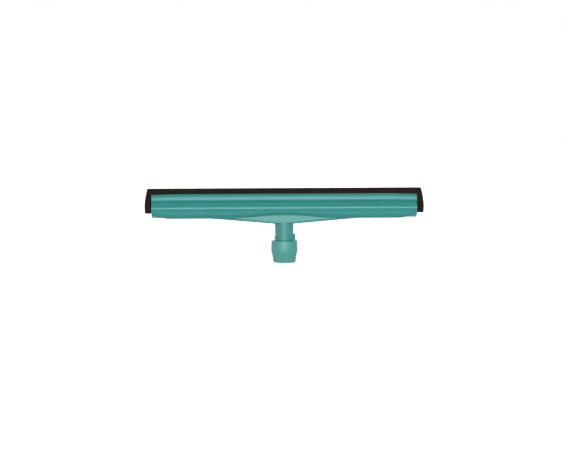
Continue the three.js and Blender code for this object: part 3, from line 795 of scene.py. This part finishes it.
def fluted(rows):
    """Turned rows whose outside is drawn in by the flutes: round ribs between narrower valleys, by
    the cosine of thirty times the angle. The depth changes with height and ends at the rim."""
    radius = np.hypot(rows[..., 0], rows[..., 1])
    angle = np.arctan2(rows[..., 1], rows[..., 0])
    z = rows[..., 2]
    share = z / NUT_RIM
    fainter = smooth_step(share, *FLUTE_FAINTER_SHARES)
    depth = FLUTE_DEPTH + (FAINT_FLUTE_DEPTH - FLUTE_DEPTH) * fainter
    depth = depth * (1 - smooth_step(share, *FLUTE_END_SHARES))
    on_foot = np.clip((radius - FLUTE_FOOT_RADIUS) / FLUTE_FOOT_RUN, 0, 1)
    outside = np.where(z < NUT_FLOOR, on_foot, radius > NUT_MAJOR + SHARP)
    valley = ((1 - np.cos(angle * FLUTES)) / 2) ** FLUTE_VALLEY_POWER
    scale = 1 - depth * outside * valley / radius
    return rows * np.stack([scale, scale, np.ones_like(scale)], -1)


nut_side = smooth_line(NUT_SHARES, NUT_SIDE_STEPS)
nut_side = np.stack([nut_side[:, 1] * NUT_RADIUS, nut_side[:, 0] * NUT_RIM], -1)
taper_low = BORE_RADIUS + RING_WALL + RING_GAP
relief_top = neck_low + NUT_RELIEF
nut_profile = np.concatenate(
    [
        nut_side,
        [[NUT_MINOR, NUT_RIM + (nut_side[-1, 0] - NUT_MINOR) * shoulder_slope]],
        [[NUT_MINOR, relief_top + NUT_MAJOR - NUT_MINOR], [NUT_MAJOR, relief_top], [NUT_MAJOR, neck_low]],
        [[ring_high[0] + RING_GAP, ring_high[2]], [taper_low, NUT_FLOOR]],
        [[NUT_MOUTH, NUT_FLOOR], [NUT_MOUTH, 0]],
    ]
)
nut_edges = np.zeros(len(nut_profile))
nut_edges[[0, len(nut_side) - 1]] = NUT_EDGE
nut_edges[[len(nut_side), -1]] = [NUT_LEAD, NUT_EDGE]
nut_edges[[-4, -3]] = NUT_INSIDE_EDGE
nut_profile = eased(nut_profile, nut_edges)
nut_profile = denser(np.concatenate([nut_profile, nut_profile[:1]]), NUT_ROW_SPACING)[:-1]
fluted_nut = skin("fluted_nut", fluted(turned(nut_profile, NUT_STEPS)), capped=False)
groove_root = [NECK_RADIUS, THREAD_ROOT_HALF + GROOVE_GAP]
groove_crest = [NUT_MAJOR, THREAD_CREST_HALF + GROOVE_GAP]
groove_low = relief_top - 2 * THREAD_ROOT_HALF
groove_high = NUT_HEIGHT + 2 * THREAD_ROOT_HALF
groove = skin("groove", wound(groove_root, groove_crest, groove_low, groove_high, SHARP, THREAD_EDGE))
worked(fluted_nut, [groove], "DIFFERENCE")

# The same polypropylene in a greener batch, from a mould eroded coarser for grip
nut_teal = moulded_plastic("grained_polypropylene", "#408a81", "#4a958b", 0.36, 0.05, 0.8, 0.03, 5.0)
finished(fluted_nut, nut_teal, "nut", "nut_plastic", "lock_nut")

# Clamp ring
# A collet of natural acetal, split at the back and slotted into fingers, that the nut's taper
# closes on the handle. It is off-white and slightly see-through at its edges.
RING_TAPER = 2.4
RING_SLOT_HALF = 1.25
RING_FINGERS = 8
RING_SLOT_SHARE = 0.7
RING_EDGE = 0.3
RING_STEPS = 192
ring_out = BORE_RADIUS + RING_WALL + RING_TAPER
ring_profile = eased(
    [
        [BORE_RADIUS, ring_low[2]],
        [BORE_RADIUS + RING_WALL, ring_low[2]],
        [ring_out, ring_high[2]],
        [BORE_RADIUS, ring_high[2]],
    ],
    RING_EDGE,
)
collet_ring = skin("collet_ring", turned(ring_profile, RING_STEPS), capped=False)


def spun(outline, angle):
    """A flat outline turned about its origin: (x cos a - y sin a, x sin a + y cos a)."""
    return outline @ np.array([[np.cos(angle), np.sin(angle)], [-np.sin(angle), np.cos(angle)]])


def ring_slot(i):
    """A flat cutter that stands out along the radius of finger i. The first cuts right through."""
    height = (ring_high[2] - ring_low[2]) * (RING_SLOT_SHARE if i else 1) + (0 if i else OVERRUN)
    inner = HANDLE_RADIUS - OVERRUN
    outline = np.array([[-1, inner], [1, inner], [1, ring_out + OVERRUN], [-1, ring_out + OVERRUN]])
    outline = spun(outline * [RING_SLOT_HALF, 1], 2 * np.pi * i / RING_FINGERS)
    return skin("slot", plate(outline, ring_low[2] - OVERRUN, ring_low[2] + height, SHARP, [0, 1, 2]))


worked(collet_ring, [ring_slot(i) for i in range(RING_FINGERS)], "DIFFERENCE")

# Natural acetal: waxy, a little cloudy, and lit from within at thin edges
natural_acetal, tree, shader, place = new_material(
    "natural_acetal", IOR=1.48, Subsurface_Weight=0.15, Subsurface_Scale=1.5 * MM
)
cloud = add_node(tree, "TexNoise", {"Vector": place, "Scale": 1 / (4 * MM), "Detail": 2.0})
tree.links.new(two_tones(tree, cloud.outputs["Fac"], "#d9d9d1", "#e4e3dc"), shader.inputs["Base Color"])
gloss = spread_over(tree, cloud.outputs["Fac"], *NOISE_RANGE, 0.32, 0.44)
tree.links.new(gloss, shader.inputs["Roughness"])
finished(collet_ring, natural_acetal, "ring", "ring_plastic", "clamp_ring")

# Cover screws
# Six zinc-plated pan-head screws, driven from behind through the rear shell and the web into blind
# bosses of the front shell. Each stopped at its own angle.
SCREW_TIP = 1.6
SCREW_DOME = 0.9
SCREW_DOME_STEPS = 8
SCREW_STEPS = 64
SCREW_FIRST_TURN = 0.3
SCREW_TURN_STEP = 0.9
CROSS_HALF = 0.5
CROSS_DEPTH = 1.2
CROSS_SHARE = 0.66
screw_head = screw_seat + SCREW_HEAD_HEIGHT
screw_end = screw_seat - SCREW_LENGTH
dome_turn = np.linspace(0, np.pi / 2, SCREW_DOME_STEPS + 1)
dome_radius = SCREW_HEAD_RADIUS - SCREW_DOME * (1 - np.cos(dome_turn))
dome = np.stack([dome_radius, screw_head - SCREW_DOME * (1 - np.sin(dome_turn))], -1)
screw_profile = np.concatenate(
    [
        [[0, screw_end], [SCREW_RADIUS / 2, screw_end], [SCREW_RADIUS, screw_end + SCREW_TIP]],
        [[SCREW_RADIUS, screw_seat], [SCREW_HEAD_RADIUS, screw_seat]],
        dome,
        [[0, screw_head]],
    ]
)

# Bright zinc plate on steel, slightly hazed where it was handled
zinc_plate, tree, shader, place = new_material("zinc_plated_steel", Metallic=1.0)
haze = add_node(tree, "TexNoise", {"Vector": place, "Scale": 1 / (1.5 * MM), "Detail": 4.0})
tree.links.new(two_tones(tree, haze.outputs["Fac"], "#b4b7ba", "#cfd1d3"), shader.inputs["Base Color"])
gloss = spread_over(tree, haze.outputs["Fac"], *NOISE_RANGE, 0.22, 0.36)
tree.links.new(gloss, shader.inputs["Roughness"])

cross_arm = np.array([[-1, -1], [1, -1], [1, 1], [-1, 1]]) * [SCREW_HEAD_RADIUS * CROSS_SHARE, CROSS_HALF]
for i, x in enumerate(screw_places):
    place_of_screw = np.array([x, 0, SCREW_Z])
    stopped_at = SCREW_TURN_STEP * i + SCREW_FIRST_TURN
    arms = []
    for angle in (stopped_at, stopped_at + np.pi / 2):
        outline = spun(cross_arm, angle)
        rows = plate(outline, screw_head - CROSS_DEPTH, screw_head + OVERRUN, SHARP, [0, 2, 1])
        arms.append(skin("arm", rows + place_of_screw))
    rows = turned(screw_profile, SCREW_STEPS)[:, :, [0, 2, 1]] + place_of_screw
    screw = worked(skin(f"pan_screw_{i + 1}", rows), arms, "DIFFERENCE")
    finished(screw, zinc_plate, "frame", "screw_steel", f"cover_screw_{i + 1}")

# Studio
# A pale floor under the nut, two soft boxes in front, high and low, one behind and an even white
# room. The floor's own glow towards the camera makes it as white as the room. It is less near the
# nut, where the floor keeps the shadow, and full further out, so that no horizon shows.
FLOOR_HALF = 6.0
NEAR_GLOW = 0.62
NEAR_FLOOR = 0.3
FAR_FLOOR = 0.9
ROOM_LEVEL = 0.15
floor_mesh = bpy.data.meshes.new("studio_floor")
floor_corners = np.array([[-1, -1, 0], [1, -1, 0], [1, 1, 0], [-1, 1, 0]]) * FLOOR_HALF
floor_mesh.from_pydata(floor_corners.tolist(), [], [[0, 1, 2, 3]])
floor = bpy.data.objects.new("studio_floor", floor_mesh)
bpy.context.collection.objects.link(floor)


def towards_picture(tree, low, high):
    """High for a ray from the camera, or one that it sees by reflection or through glass, and low
    for the rays that light the object."""
    path = add_node(tree, "LightPath").outputs
    seen = {0: path["Is Camera Ray"], 1: path["Is Glossy Ray"]}
    seen = add_node(tree, "Math", seen, operation="MAXIMUM").outputs[0]
    seen = add_node(tree, "Math", {0: seen, 1: path["Is Transmission Ray"]}, operation="MAXIMUM").outputs[0]
    return spread_over(tree, seen, 0.0, 1.0, low, high)


pale_floor, tree, shader, place = new_material("pale_floor", Roughness=0.9, Specular_IOR_Level=0.1)
shader.inputs["Base Color"].default_value = linear("#e6e6e6")
shader.inputs["Emission Color"].default_value = [1, 1, 1, 1]
distance = add_node(tree, "VectorMath", {0: place}, operation="LENGTH").outputs["Value"]
glow = spread_over(tree, distance, NEAR_FLOOR, FAR_FLOOR, NEAR_GLOW, 1.0)
tree.links.new(towards_picture(tree, 0.0, glow), shader.inputs["Emission Strength"])
floor.data.materials.append(pale_floor)

room = bpy.data.worlds.new("white_room")
room.use_nodes = True
bpy.context.scene.world = room
background = room.node_tree.nodes["Background"]
background.inputs["Color"].default_value = [1, 1, 1, 1]
room.node_tree.links.new(towards_picture(room.node_tree, ROOM_LEVEL, 1.0), background.inputs["Strength"])


def soft_box(name, width, height, azimuth, elevation, distance, radiance, colour):
    """A rectangular lamp, in metres, aimed at the frame's middle from a direction. Its power is the
    radiance times pi times its area, because it shines evenly from one face."""
    lamp = bpy.data.lights.new(name, "AREA")
    lamp.shape = "RECTANGLE"
    lamp.size = width
    lamp.size_y = height
    lamp.color = colour
    lamp.energy = radiance * math.pi * width * height
    stand = bpy.data.objects.new(name, lamp)
    bpy.context.collection.objects.link(stand)
    around = math.radians(azimuth)
    up = math.radians(elevation)
    level = math.cos(up)
    towards = np.array([math.sin(around) * level, -math.cos(around) * level, math.sin(up)])
    stand.location = towards * distance + np.array([0, 0, SCREW_Z * MM])
    stand.rotation_euler = [math.pi / 2 - up, 0, around]


soft_box("front_box", 1.4, 1.4, 0, 35, 2.4, 4.8, (0.93, 0.98, 1.0))
soft_box("foot_box", 1.4, 0.6, 0, 5, 2.4, 12.8, (0.93, 0.98, 1.0))
soft_box("rear_box", 1.4, 1.4, 180, 40, 2.6, 4.0, (1.0, 1.0, 1.0))

# Camera
# In front of the head and five degrees above its level, as in the photograph, which is 563 by 450
# pixels of 1.62 mm. It leans a third of a degree.
PICTURE_WIDTH = 563
PICTURE_HEIGHT = 450
PIXEL_MM = 1.6205
MIDDLE_PIXEL_X = 284.25
FOOT_PIXEL_Y = 261.95
VIEW_DISTANCE = 1800.0
VIEW_ELEVATION = math.radians(5.0)
VIEW_ROLL = math.radians(-0.3)
camera_data = bpy.data.cameras.new("camera")
camera_data.lens = camera_data.sensor_width * VIEW_DISTANCE / (PICTURE_WIDTH * PIXEL_MM)
camera = bpy.data.objects.new("camera", camera_data)
bpy.context.collection.objects.link(camera)
aim_x = (PICTURE_WIDTH / 2 - MIDDLE_PIXEL_X) * PIXEL_MM
aim_z = (FOOT_PIXEL_Y - PICTURE_HEIGHT / 2) * PIXEL_MM / math.cos(VIEW_ELEVATION)
back = np.array([0, -math.cos(VIEW_ELEVATION), math.sin(VIEW_ELEVATION)])
camera.location = (np.array([aim_x, 0, aim_z]) + back * VIEW_DISTANCE) * MM
camera.rotation_mode = "ZYX"
camera.rotation_euler = [math.pi / 2 - VIEW_ELEVATION, 0, VIEW_ROLL]
bpy.context.scene.camera = camera
bpy.context.scene.view_settings.view_transform = "Standard"
